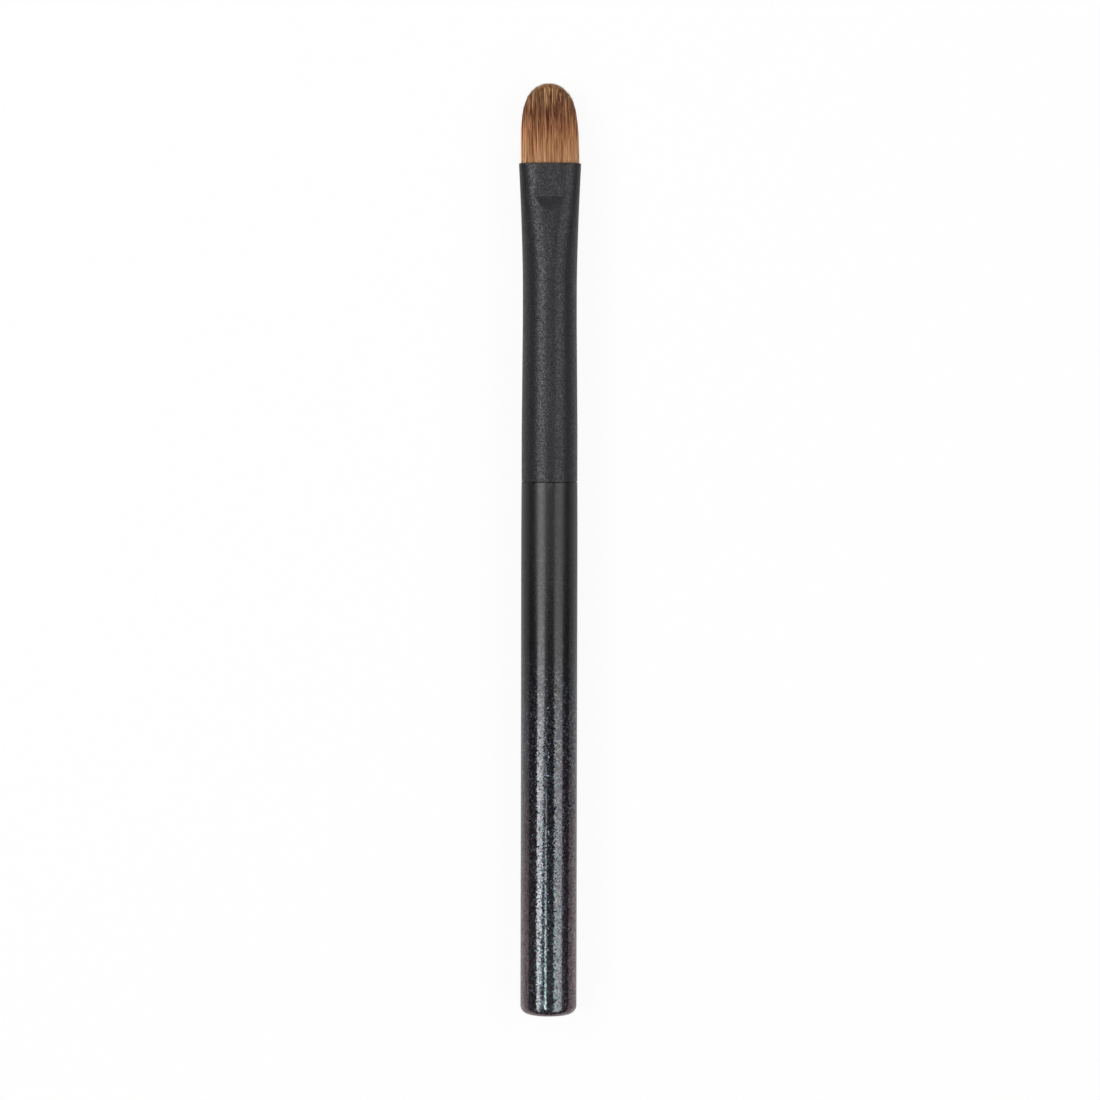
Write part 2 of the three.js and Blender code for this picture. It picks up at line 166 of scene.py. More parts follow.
def skin(name, rows, loop):
    """A piece over rows of points with shape (rows, columns, 3). Each column joins to the next and the
    last to the first. With loop, the last row joins to the first; otherwise a pole at the mean of each
    end row closes it."""
    count, columns = rows.shape[:2]
    points = rows.reshape(-1, 3)
    lower = np.arange(count if loop else count - 1)[:, None] * columns
    upper = (lower + columns) % (count * columns)
    here = np.arange(columns)
    after = (here + 1) % columns
    quads = np.stack([lower + here, lower + after, upper + after, upper + here], axis=-1).reshape(-1, 4)
    corners = quads.ravel()
    sizes = np.full(len(quads), 4)
    edge_u = np.stack([here, here + 1, here + 1, here], axis=-1) / columns
    u = np.tile(edge_u, (len(lower), 1)).ravel()
    step = 1 / len(lower)
    along = np.arange(len(lower))[:, None] / len(lower)
    v = np.repeat(along + np.array([[0, 0, step, step]]), columns, axis=0).ravel()
    if not loop:
        pole = len(points)
        points = np.vstack([points, rows[0].mean(axis=0), rows[-1].mean(axis=0)])
        last = (count - 1) * columns
        bottom = np.stack([np.full(columns, pole), after, here], axis=-1)
        top = np.stack([np.full(columns, pole + 1), last + here, last + after], axis=-1)
        corners = np.concatenate([corners, bottom.ravel(), top.ravel()])
        sizes = np.concatenate([sizes, np.full(2 * columns, 3)])
        bottom_u = np.stack([here + 0.5, here + 1, here], axis=-1) / columns
        top_u = np.stack([here + 0.5, here, here + 1], axis=-1) / columns
        bottom_v = np.tile([0, POLE_STEP, POLE_STEP], columns)
        u = np.concatenate([u, bottom_u.ravel(), top_u.ravel()])
        v = np.concatenate([v, bottom_v, 1 - bottom_v])
    mesh = new_mesh(name, points, corners, sizes)
    uv = mesh.uv_layers.new(name="wrap")
    uv.data.foreach_set("uv", np.stack([u, v], axis=-1).ravel().astype(np.float32))
    mesh.set_sharp_from_angle(angle=SHARP_ANGLE)
    return add_piece(name, mesh)


# %% [markdown]
# The ferrule is a drawn tube. It narrows a little from the handle to a waist, then its mouth was pressed
# between flat jaws: the width flares steadily while the thickness falls slowly, then fast, then slowly
# again. A superellipse describes every section on the way, because its exponent turns a circle into a
# rounded rectangle without changing the number of points. The jaws also cut two flats into the sections
# they touched, which leaves a ledge across the middle of the face and fades out at the mouth.

# %% Ferrule sections
SEAM_RADIUS = 4.555 * MM
FOOT_LENGTH = 8.0 * MM
WAIST_RADIUS = 4.4 * MM
WAIST_HEIGHT = 26.0 * MM
MOUTH_HALF_WIDTH = 5.065 * MM
MOUTH_HALF_THICKNESS = 2.9 * MM
MOUTH_SQUARENESS = 2.5
FLARE_LENGTH = 20.0 * MM
FLARE_EXPONENT = 1.55
FLATTEN_EXPONENT = 3.0
FLATTEN_RATE = 4.2
CRIMP_LENGTH = 8.0 * MM
LEDGE_LENGTH = 2.6 * MM
FLAT_EDGE = 0.06 * MM
LEAST_EDGE = 1e-9


def tube_radius(height):
    """A straight foot, then a straight taper to the waist, and constant above it."""
    taper = np.clip((height - FOOT_LENGTH) / (WAIST_HEIGHT - FOOT_LENGTH), 0, 1)
    return SEAM_RADIUS + (WAIST_RADIUS - SEAM_RADIUS) * taper


def ferrule_section(depth):
    """Half-width, half-thickness, exponent and flat at a depth below the mouth. The width blends to the
    mouth's by a power of the share of the flare passed. The thickness and the exponent blend by one less
    an exponential of that share's cube. The flat blends to the mouth's half-thickness by the square of
    the share of the ledge passed."""
    radius = tube_radius(ferrule_length - depth)
    reach = np.clip(1 - depth / FLARE_LENGTH, 0, 1)
    pressed = 1 - np.exp(-FLATTEN_RATE * reach**FLATTEN_EXPONENT)
    half_width = radius + (MOUTH_HALF_WIDTH - radius) * reach**FLARE_EXPONENT
    half_thickness = radius + (MOUTH_HALF_THICKNESS - radius) * pressed
    jaws = np.clip((CRIMP_LENGTH - depth) / LEDGE_LENGTH, 0, 1) ** 2
    flat = half_thickness + (MOUTH_HALF_THICKNESS - half_thickness) * jaws
    return half_width, half_thickness, 2 + (MOUTH_SQUARENESS - 2) * pressed, flat


def rounded(wave, exponent):
    """The size of a cosine or sine, to the power of two over the exponent, one row for each section."""
    return np.abs(wave)[None, :] ** (2 / exponent[:, None])


def section_rows(half_width, half_thickness, exponent, flat, y):
    """Superellipse points, one row for each section: the sign and the rounded size of cosine and sine,
    times the half sizes. A smooth minimum holds the thickness within the flats and rounds the flats'
    edges. Angles run so that faces point outwards when rows go towards the tip."""
    angle = -(np.arange(COLUMNS) + 0.5) * 2 * np.pi / COLUMNS
    x = half_width[:, None] * np.sign(np.cos(angle)) * rounded(np.cos(angle), exponent)
    free = half_thickness[:, None] * rounded(np.sin(angle), exponent)
    cut = flat[:, None]
    ease = np.minimum(FLAT_EDGE, half_thickness[:, None] - cut) + LEAST_EDGE
    near = np.maximum(ease - np.abs(free - cut), 0) / ease
    held = np.minimum(free, cut) - near * near * ease / 4
    z = np.sign(np.sin(angle)) * held + axis_z
    return np.stack([x, np.broadcast_to(y[:, None], x.shape), z], axis=-1)


for depth in (0.0, CRIMP_LENGTH, FLARE_LENGTH):
    half_width, half_thickness = ferrule_section(np.array(depth))[:2]
    size = f"{2 * half_width / MM:.2f} by {2 * half_thickness / MM:.2f} mm"
    print(f"section {depth / MM:.0f} mm below the mouth: {size} before the flats")

# %% [markdown]
# The tube is one closed loop of sections: up the outside from the rounded foot to the rounded rim, and
# back down the bore, one wall further in. Between foot and rim the sections lie closest at the ledge,
# where the shape changes fastest.

# %% Ferrule
FERRULE_WALL = 0.3 * MM
EDGE_ROUND = 0.1 * MM
BORE_LIP = 0.02 * MM
LEDGE_MARGIN = 0.2 * MM
TUBE_ROWS = 40
FLARE_ROWS = 60
LEDGE_ROWS = 40
MOUTH_ROWS = 24
ROUND_ROWS = 6
BORE_STEP = 4
ledge_start = CRIMP_LENGTH + LEDGE_MARGIN
ledge_end = CRIMP_LENGTH - LEDGE_LENGTH - LEDGE_MARGIN
outside_depth = np.concatenate(
    [
        np.linspace(ferrule_length - EDGE_ROUND, FLARE_LENGTH, TUBE_ROWS, endpoint=False),
        np.linspace(FLARE_LENGTH, ledge_start, FLARE_ROWS, endpoint=False),
        np.linspace(ledge_start, ledge_end, LEDGE_ROWS, endpoint=False),
        np.linspace(ledge_end, EDGE_ROUND, MOUTH_ROWS),
    ]
)
quarter = np.linspace(0, np.pi / 2, ROUND_ROWS)
foot_depth = ferrule_length - EDGE_ROUND * (1 - np.cos(quarter[::-1]))
rim_depth = EDGE_ROUND * (1 - np.sin(quarter))
bore_depth = np.concatenate([[BORE_LIP], outside_depth[::-BORE_STEP], [ferrule_length]])
depths = np.concatenate([foot_depth, outside_depth, rim_depth, bore_depth])
insets = np.concatenate(
    [
        EDGE_ROUND * (1 - np.sin(quarter)),
        np.zeros(len(outside_depth)),
        EDGE_ROUND * (1 - np.cos(quarter)),
        np.full(len(bore_depth), FERRULE_WALL),
    ]
)
width, thickness, squareness, flat = ferrule_section(depths)
ferrule_rows = section_rows(width - insets, thickness - insets, squareness, flat - insets, mouth_y - depths)
ferrule = skin("ferrule_skin", ferrule_rows, loop=True)
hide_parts("ferrule")

# %% [markdown]
# The handle is turned on a lathe: a flat butt with a well-rounded edge, a straight shaft that narrows a
# little to a square shoulder, and the tenon inside the ferrule. Its profile is a list of radii and
# places, one section for each, and every section is a circle, which is a superellipse with the exponent
# two.

# %% Handle
HANDLE_RADIUS = 4.6 * MM
SHOULDER_TAPER = 13.0 * MM
BUTT_ROUND = 1.4 * MM
SHOULDER_ROUND = 0.1 * MM
SEAM_GAP = 0.08 * MM
TENON_RADIUS = 3.83 * MM
TENON_CHAMFER = 0.8 * MM
TENON_END_RADIUS = 1.0 * MM
INNERMOST_RING = 0.05
FLAT_ROWS = 14
BUTT_ROWS = 24
SHAFT_ROWS = 60
shoulder_y = ferrule_foot_y - SEAM_GAP

butt_turn = np.linspace(0, np.pi / 2, BUTT_ROWS)
flat_radius = np.linspace(INNERMOST_RING, 1, FLAT_ROWS)[:-1] * (HANDLE_RADIUS - BUTT_ROUND)
shaft_y = np.linspace(butt_y + BUTT_ROUND, shoulder_y - SHOULDER_ROUND, SHAFT_ROWS)[1:]
shaft_taper = np.clip(1 - (shoulder_y - shaft_y) / SHOULDER_TAPER, 0, 1) ** 2
profile_radius = np.concatenate(
    [
        flat_radius,
        HANDLE_RADIUS - BUTT_ROUND * (1 - np.sin(butt_turn)),
        HANDLE_RADIUS + (SEAM_RADIUS - HANDLE_RADIUS) * shaft_taper,
        SEAM_RADIUS - SHOULDER_ROUND * (1 - np.cos(quarter[1:])),
        [TENON_RADIUS, TENON_RADIUS, TENON_RADIUS - TENON_CHAMFER, TENON_END_RADIUS],
    ]
)
profile_y = np.concatenate(
    [
        np.full(len(flat_radius), butt_y),
        butt_y + BUTT_ROUND * (1 - np.cos(butt_turn)),
        shaft_y,
        shoulder_y - SHOULDER_ROUND * (1 - np.sin(quarter[1:])),
        [shoulder_y, tenon_top_y - TENON_CHAMFER, tenon_top_y, tenon_top_y],
    ]
)
circle = np.full(len(profile_y), 2.0)
handle_rows = section_rows(profile_radius, profile_radius, circle, profile_radius, profile_y)
handle = skin("handle_skin", handle_rows, loop=False)
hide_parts("handle")

# %% [markdown]
# The tuft is thousands of separate hairs. Blender's own hair curves would render well, but an exported
# model needs meshes, so every hair is a thin tube. They stand close together on a triangular lattice
# inside the mouth, each pushed a little off its place by chance, because real hairs are never in rows.

# %% Where the hairs stand
HEEL_RECESS = 1.5 * MM
HAIR_PITCH = 0.09 * MM
HAIR_CLEARANCE = 0.08 * MM
STAND_JITTER = 0.28 * HAIR_PITCH
EDGE_LIMIT = 0.99
chance = np.random.default_rng(7)

heel = ferrule_section(np.array(HEEL_RECESS))
heel_width, heel_thickness, heel_squareness = (float(value) for value in heel[:3])
room_width = heel_width - FERRULE_WALL - HAIR_CLEARANCE
room_thickness = heel_thickness - FERRULE_WALL - HAIR_CLEARANCE
row_pitch = HAIR_PITCH * math.sqrt(0.75)
row_reach = int(room_thickness / row_pitch)
column_reach = int(room_width / HAIR_PITCH) + 1
lattice_rows = np.arange(-row_reach, row_reach + 1)[:, None]
lattice_columns = np.arange(-column_reach, column_reach + 1)[None, :]
stand_x = (lattice_columns + 0.5 * (lattice_rows % 2)) * HAIR_PITCH
stand_z = np.broadcast_to(lattice_rows * row_pitch, stand_x.shape)
stand_x = (stand_x + chance.normal(0, STAND_JITTER, stand_x.shape)).ravel()
stand_z = (stand_z + chance.normal(0, STAND_JITTER, stand_z.shape)).ravel()
reach_x = np.abs(stand_x / room_width) ** heel_squareness
reach_z = np.abs(stand_z / room_thickness) ** heel_squareness
inside = reach_x + reach_z < EDGE_LIMIT
order = np.argsort(stand_z[inside] / room_thickness)
across = (stand_x[inside] / room_width)[order]
through = (stand_z[inside] / room_thickness)[order]
hair_count = len(across)
print("hairs:", hair_count)

# %% [markdown]
# Hairs cling together in small bundles that lean their own way. Bundle middles stand on a coarser grid,
# also pushed about by chance, and each hair belongs to the nearest one.

# %% Bundles of hair
BUNDLE_PITCH = 0.2 * MM
BUNDLE_JITTER = 0.3 * BUNDLE_PITCH
BUNDLE_LEAN = 0.09 * MM
bundle_columns = np.arange(-room_width, room_width, BUNDLE_PITCH)
bundle_rows = np.arange(-room_thickness, room_thickness, BUNDLE_PITCH)
bundle_x, bundle_z = np.meshgrid(bundle_columns, bundle_rows)
bundle_place = np.stack([bundle_x.ravel(), bundle_z.ravel()], axis=-1)
bundle_place += chance.normal(0, BUNDLE_JITTER, bundle_place.shape)
hair_place = np.stack([across * room_width, through * room_thickness], axis=-1)
apart = hair_place[:, None, :] - bundle_place[None, :, :]
bundle = np.argmin((apart**2).sum(axis=-1), axis=1)
to_bundle = bundle_place[bundle] - hair_place
bundle_tone = chance.normal(0, 1, len(bundle_place))[bundle]
bundle_lean = chance.normal(0, BUNDLE_LEAN, (len(bundle_place), 2))[bundle]
print("bundles:", len(bundle_place))

# %% [markdown]
# Each hair ends at the dome of the tuft, or a little short of it by chance, and a few are clearly
# shorter. A hair's path has a ring of points at every step of its length, closer together towards the
# tip, where it bends most.

# %% How tall the hairs are
RINGS = 10
RING_CROWDING = 1.5
DOME_LENGTH = 12.0 * MM
DOME_EXPONENT = 4.0
DOME_EDGE = 0.999
FRONT_DROP = 0.5 * MM
SHORT_INSIDE = 0.08 * MM
SHORT_FACE = 0.4 * MM
SHORTER_LENGTH = 1.2 * MM
SHORTER_SHARE = 0.12
SHORTEST_HAIR = 1.0 * MM


def tuft_top(across, through):
    """Height of the tuft's surface over a place: a dome of the fourth power across, lower towards the
    flat faces by the square of the place through the tuft."""
    dome = DOME_LENGTH * (1 - (1 - np.clip(across * across, 0, DOME_EDGE)) ** (1 / DOME_EXPONENT))
    return hair_length - dome - FRONT_DROP * through * through


short = chance.exponential(1.0, hair_count) * (SHORT_INSIDE + SHORT_FACE * np.abs(through))
short += SHORTER_LENGTH * chance.random(hair_count) * (chance.random(hair_count) < SHORTER_SHARE)
hair_tip = np.maximum(tuft_top(across, through) - short, SHORTEST_HAIR)
share = 1 - (1 - np.linspace(0, 1, RINGS)[None, :]) ** RING_CROWDING
height = -HEEL_RECESS + share * (hair_tip + HEEL_RECESS)[:, None]
rise = np.clip(height / hair_length, 0, 1)
print(f"tallest tip {hair_tip.max() / MM:.2f} mm, mean {hair_tip.mean() / MM:.2f} mm over the mouth")

# %% [markdown]
# A hair rises almost straight, spreads a little on its way out of the mouth, and leans in towards the
# middle of the tuft above it. On the way it waves, strays and is drawn to its bundle. Hairs at the sides
# are less free to move across the brush, because they would stick out of the tuft's outline.

# %% Hair paths
SPLAY = 0.03
SIDE_LEAN = 0.04
SWAY = -0.2 * MM
FACE_LEAN = 0.76
FACE_LEAN_EXPONENT = 1.35
FEWEST_WAVES = 0.7
MOST_WAVES = 2.2
WAVE_ONSET = 0.7
WAVE_ACROSS = 0.09 * MM
WAVE_THROUGH = 0.13 * MM
STRAY_ONSET = 2
STRAY_ACROSS = 0.16 * MM
STRAY_THROUGH = 0.08 * MM
GATHER = 0.4
GATHER_ONSET = 1.5

climb = rise[..., None]
splay = SPLAY * np.clip(1 + height / HEEL_RECESS, 0, 1) - SIDE_LEAN * rise
wave_count = chance.uniform(FEWEST_WAVES, MOST_WAVES, (hair_count, 1, 2))
wave_phase = chance.random((hair_count, 1, 2))
wave = np.sin(2 * np.pi * (wave_count * climb + wave_phase)) * climb**WAVE_ONSET
stray = chance.normal(0, 1, (hair_count, 1, 2)) * climb**STRAY_ONSET
gather = (GATHER * to_bundle + bundle_lean)[:, None, :] * climb**GATHER_ONSET
free = (1 - across**4)[:, None]
path_x = across[:, None] * room_width * (1 + splay) + SWAY * rise
path_x += free * (WAVE_ACROSS * wave[..., 0] + STRAY_ACROSS * stray[..., 0] + gather[..., 0])
face_lean = 1 - FACE_LEAN * rise**FACE_LEAN_EXPONENT
path_z = (through[:, None] * room_thickness + gather[..., 1]) * face_lean
path_z += WAVE_THROUGH * wave[..., 1] + STRAY_THROUGH * stray[..., 1]
path = np.stack([path_x, mouth_y + height, axis_z + path_z], axis=-1)
print(f"hairs reach {np.abs(path_x).max() / MM:.2f} mm to the sides")

# %% [markdown]
# No two hairs have the same colour. Each has a tone, from dark to light, that shows more and more towards
# its tip. The tips are lighter, a little everywhere and most in the middle of the tuft: partly the hair's
# own lighter ends, partly painted light where the thin tips would let light through. The outermost hairs
# at the sides are lighter too, painted light as if shone through. A few hairs nearer to the flat faces
# carry painted glints: they are a little thicker, with nearly white ends that stand in for the lamps'
# highlights. The tones are worked out here for the rings of every hair, and the material turns them into
# colours later.

# %% Hair tones and thickness
HAIR_RADIUS = 0.056 * MM
TIP_THINNING = 0.45
THINNEST = 0.8
THICKEST = 1.2
MEAN_TONE = 0.46
TONE_SPREAD = 0.3
BUNDLE_TONE_SPREAD = 0.05
PAINTED_SIDE_LIGHT = 0.22
PAINTED_GLINT_SHARE = 0.06
PAINTED_GLINT_DEPTH = 0.4
PAINTED_GLINT_THICKENING = 0.35
PAINTED_GLINT_FROM = 0.72
PAINTED_GLINT_TONE = 0.985
SHOWN_TONE = 0.43
LIGHTEST_TONE = 0.92
PATCH_SPREAD = 0.08
ROOT_CONTRAST = 0.24
CONTRAST_GAIN = 1.25
FACE_TIP_TONE_AND_LIGHT = 0.06
MIDDLE_TIP_TONE_AND_LIGHT = 0.6

tone = MEAN_TONE + TONE_SPREAD * chance.normal(size=hair_count) + BUNDLE_TONE_SPREAD * bundle_tone
# Painted light: the outermost hairs at the sides are lighter, as if light shone through them.
tone += PAINTED_SIDE_LIGHT * np.abs(across) ** 8
# Painted highlights: a few hairs nearer the flat faces get nearly white ends near their tips.
painted_glint = (chance.random(hair_count) < PAINTED_GLINT_SHARE) & (np.abs(through) > PAINTED_GLINT_DEPTH)
girth = chance.uniform(THINNEST, THICKEST, hair_count) + PAINTED_GLINT_THICKENING * painted_glint
thick = HAIR_RADIUS * (1 - TIP_THINNING * share**8) * girth[:, None]
print("glints:", int(painted_glint.sum()))


def ring_tones(chosen):
    """Tone at each ring of the chosen hairs: a middle tone, plus the hair's own departure times a
    contrast that grows along the hair, plus lighter tips that are partly the hair's own and partly
    painted light, plus small patches by chance. Near their tips the glint hairs take the nearly white
    painted glint tone instead."""
    contrast = ROOT_CONTRAST + CONTRAST_GAIN * share
    own = (tone[chosen][:, None] - MEAN_TONE) * contrast
    inner = (1 - through[chosen][:, None] ** 2) ** 3
    # Partly painted light: tips are lighter a little everywhere, and most in the middle of the tuft.
    tip_colour_and_light = (FACE_TIP_TONE_AND_LIGHT + MIDDLE_TIP_TONE_AND_LIGHT * inner) * share**6
    patch = chance.normal(0, PATCH_SPREAD, (len(chosen), RINGS))
    tones = np.clip(SHOWN_TONE + own + tip_colour_and_light + patch, 0, LIGHTEST_TONE)
    return np.where(painted_glint[chosen][:, None] & (share > PAINTED_GLINT_FROM), PAINTED_GLINT_TONE, tones)


# %% [markdown]
# A hair is a tapering three-sided tube that closes in a point, so the whole tuft is one array of hairs by
# rings by sides. Three sides are enough for something thinner than a pixel, and keep the tuft light. Its
# UV map holds the tone across and the height up the tuft, for the colour to read. The tuft is split into
# three pieces, from the table upwards, to keep each piece small.

# %% Hair meshes
SIDE_ANGLES = np.array([0.5, 2.5, 4.5]) * np.pi / 3 + np.pi
SIDE_TONE_STEP = 0.004


def hair_piece(name, chosen):
    """Tubes for the chosen hairs. Ring corners lie at three angles about the path, in the plane across
    the brush, turned by chance. The last ring is one point, and a triangle closes the root."""
    count = len(chosen)
    spin = chance.random((count, 1, 1)) * 2 * np.pi
    ring = path[chosen][:, :-1, None, :].repeat(3, axis=2)
    ring[..., 0] += thick[chosen][:, :-1, None] * np.cos(SIDE_ANGLES + spin)
    ring[..., 2] += thick[chosen][:, :-1, None] * np.sin(SIDE_ANGLES + spin)
    tips = path[chosen][:, -1:, :]
    points = np.concatenate([ring.reshape(count, -1, 3), tips], axis=1)
    per_hair = points.shape[1]
    side = np.arange(3)
    after = (side + 1) % 3
    low = np.arange(RINGS - 2)[:, None] * 3
    walls = np.stack([low + after, low + side, low + side + 3, low + after + 3], axis=-1).ravel()
    last = (RINGS - 2) * 3
    tip_faces = np.stack([last + after, last + side, np.full(3, per_hair - 1)], axis=-1).ravel()
    one_hair = np.concatenate([walls, tip_faces, [0, 1, 2]])
    corners = (one_hair[None, :] + np.arange(count)[:, None] * per_hair).ravel()
    sizes = np.tile(np.concatenate([np.full(len(walls) // 4, 4), np.full(4, 3)]), count)
    mesh = new_mesh(name, points.reshape(-1, 3), corners, sizes)
    tones = ring_tones(chosen)
    corner_tones = tones[:, :-1, None] + SIDE_TONE_STEP * (side - 1)
    point_u = np.concatenate([corner_tones.reshape(count, -1), tones[:, -1:]], axis=1).ravel()
    point_v = (points[..., 1].ravel() - mouth_y + HEEL_RECESS) / (hair_length + HEEL_RECESS)
    uv = mesh.uv_layers.new(name="strand")
    corner_uv = np.stack([point_u, point_v], axis=-1)[corners]
    uv.data.foreach_set("uv", corner_uv.ravel().astype(np.float32))
    return add_piece(name, mesh)


layer_names = ("hair_under", "hair_middle", "hair_upper")
layers = np.array_split(np.arange(hair_count), len(layer_names))
hair_pieces = [hair_piece(name, chosen) for name, chosen in zip(layer_names, layers)]
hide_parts("hair_tuft")

# %% [markdown]
# Materials are small node trees. These helpers keep the cells short: they make a material with its
# Principled shader and Object coordinates, add a node with its settings, join sockets, and give a piece
# its material.

# %% Node helpers


def set_inputs(tree, node, inputs):
    """Give each named input a value, or join it to another node's output."""
    for key, value in inputs.items():
        if isinstance(value, bpy.types.NodeSocket):
            tree.links.new(value, node.inputs[key])
        else:
            node.inputs[key].default_value = value


def add_node(tree, kind, inputs=None, **settings):
    """A new node with its properties set, and its inputs set to values or joined to other nodes'
    outputs."""
    node = tree.nodes.new(kind)
    for key, value in settings.items():
        setattr(node, key, value)
    set_inputs(tree, node, inputs or {})
    return node


def math_node(tree, operation, first, second=0.0, third=0.0):
    """The output of a Math node."""
    return add_node(tree, "ShaderNodeMath", {0: first, 1: second, 2: third}, operation=operation).outputs[0]


def map_range(tree, value, from_low, from_high, to_low, to_high, **settings):
    """The output of a Map Range node, which is held between its ends."""
    ends = {"From Min": from_low, "From Max": from_high, "To Min": to_low, "To Max": to_high}
    return add_node(tree, "ShaderNodeMapRange", {"Value": value, **ends}, **settings).outputs["Result"]


def mix_colours(tree, factor, first, second, **settings):
    """The output of a Mix node of colours. It has sockets for other kinds too, so they are found by
    identifier."""
    node = add_node(tree, "ShaderNodeMix", data_type="RGBA", **settings)
    sockets = {socket.identifier: socket for socket in node.inputs}
    tree.links.new(first, sockets["A_Color"])
    tree.links.new(second, sockets["B_Color"])
    if isinstance(factor, bpy.types.NodeSocket):
        tree.links.new(factor, sockets["Factor_Float"])
    else:
        sockets["Factor_Float"].default_value = factor
    return next(socket for socket in node.outputs if socket.identifier == "Result_Color")


def ramp(tree, factor, stops):
    """A colour ramp from (place, colour) pairs, with colours as the shader's linear values."""
    node = add_node(tree, "ShaderNodeValToRGB", {"Fac": factor})
    elements = node.color_ramp.elements
    while len(elements) < len(stops):
        elements.new(0.5)
    for element, (place, colour) in zip(elements, stops):
        element.position = place
        element.color = (*colour, 1)
    return node.outputs["Color"]


def srgb(red, green, blue):
    """Linear colour for a screen colour of 0 to 255."""
    screen = np.array([red, green, blue]) / 255
    return tuple(np.where(screen <= 0.04045, screen / 12.92, ((screen + 0.055) / 1.055) ** 2.4))


def new_material(name):
    """A material with its node tree, its Principled shader and its Object coordinates."""
    material = bpy.data.materials.new(name)
    material.use_nodes = True
    tree = material.node_tree
    shader = tree.nodes["Principled BSDF"]
    place = add_node(tree, "ShaderNodeTexCoord").outputs["Object"]
    return material, tree, shader, place


def dress(piece, material):
    """Give a piece its material."""
    piece.data.materials.append(material)
    print(f"{piece.name} wears {material.name}, {len(material.node_tree.nodes)} nodes")


# %% [markdown]
# Powder coat and lacquer both break up the light in tiny spots about a fifth of a millimetre across. One
# node group makes them: a Voronoi texture cuts the surface into cells, gives each cell a random colour to
# draw from, and tilts the surface in each cell a little, by the same random colour, so that some cells
# catch a lamp and others miss it.

# %% Grain cells


def vector_math(tree, operation, inputs):
    """The vector output of a Vector Math node."""
    return add_node(tree, "ShaderNodeVectorMath", inputs, operation=operation).outputs["Vector"]


grain_group = bpy.data.node_groups.new("grain cells", "ShaderNodeTree")
grain_group.interface.new_socket("Place", in_out="INPUT", socket_type="NodeSocketVector")
grain_group.interface.new_socket("Cells per metre", in_out="INPUT", socket_type="NodeSocketFloat")
grain_group.interface.new_socket("Tilt", in_out="INPUT", socket_type="NodeSocketFloat")
grain_group.interface.new_socket("Random", in_out="OUTPUT", socket_type="NodeSocketColor")
grain_group.interface.new_socket("Normal", in_out="OUTPUT", socket_type="NodeSocketVector")
grain_in = grain_group.nodes.new("NodeGroupInput").outputs
grain_out = grain_group.nodes.new("NodeGroupOutput").inputs
cell_inputs = {"Vector": grain_in["Place"], "Scale": grain_in["Cells per metre"]}
cells = add_node(grain_group, "ShaderNodeTexVoronoi", cell_inputs).outputs["Color"]
offset = vector_math(grain_group, "SUBTRACT", {0: cells, 1: (0.5, 0.5, 0.5)})
scaled = vector_math(grain_group, "SCALE", {0: offset, "Scale": grain_in["Tilt"]})
surface_normal = add_node(grain_group, "ShaderNodeNewGeometry").outputs["Normal"]
tilted = vector_math(grain_group, "ADD", {0: surface_normal, 1: scaled})
grain_group.links.new(cells, grain_out["Random"])
grain_group.links.new(vector_math(grain_group, "NORMALIZE", {0: tilted}), grain_out["Normal"])
print(grain_group.name, "group:", len(grain_group.nodes), "nodes")


def grain_cells(tree, place, cells_per_metre, tilt):
    """The group in a material's tree: the random red, green and blue of each cell, and the tilted
    normal."""
    group = tree.nodes.new("ShaderNodeGroup")
    group.node_tree = grain_group
    set_inputs(tree, group, {"Place": place, "Cells per metre": cells_per_metre, "Tilt": tilt})
    parts = add_node(tree, "ShaderNodeSeparateColor", {"Color": group.outputs["Random"]}).outputs
    return parts["Red"], parts["Green"], parts["Blue"], group.outputs["Normal"]


# %% [markdown]
# The ferrule's coat is a matt black powder coat on metal. It scatters the lamps into broad, soft bands.
# Each grain of it has its own share of a glossier top coat and its own tilt, so fine speckle shows where
# the lamps shine and nearly vanishes where they do not.

# %% Ferrule coat
GRAINS_PER_METRE = 5600.0
GRAIN_TILT = 0.14
SMOOTHEST_GRAIN = 0.38
ROUGHEST_GRAIN = 0.5
coat, tree, shader, place = new_material("matt_black_coat")
red, green, blue, coat_normal = grain_cells(tree, place, GRAINS_PER_METRE, GRAIN_TILT)
coat_colour = ramp(tree, red, [(0.0, srgb(42, 42, 46)), (0.7, srgb(45, 45, 49)), (1.0, srgb(51, 51, 56))])
tree.links.new(coat_colour, shader.inputs["Base Color"])
coat_rough = map_range(tree, green, 0.0, 1.0, SMOOTHEST_GRAIN, ROUGHEST_GRAIN)
tree.links.new(coat_rough, shader.inputs["Roughness"])
tree.links.new(math_node(tree, "POWER", blue, 2.0), shader.inputs["Coat Weight"])
tree.links.new(coat_normal, shader.inputs["Normal"])
shader.inputs["Coat Roughness"].default_value = 0.27
shader.inputs["Coat IOR"].default_value = 1.62
shader.inputs["IOR"].default_value = 1.4
dress(ferrule, coat)

# %% [markdown]
# The handle's lacquer starts as plain satin black below the seam. On the way down it turns glossy, and
# pearl flakes are mixed in, more and more of them. The place along the handle, from 0 at the seam to 1 at
# the butt, drives all of this: two masks for glitter and pearl, the roughness, and the colour under the
# flakes.

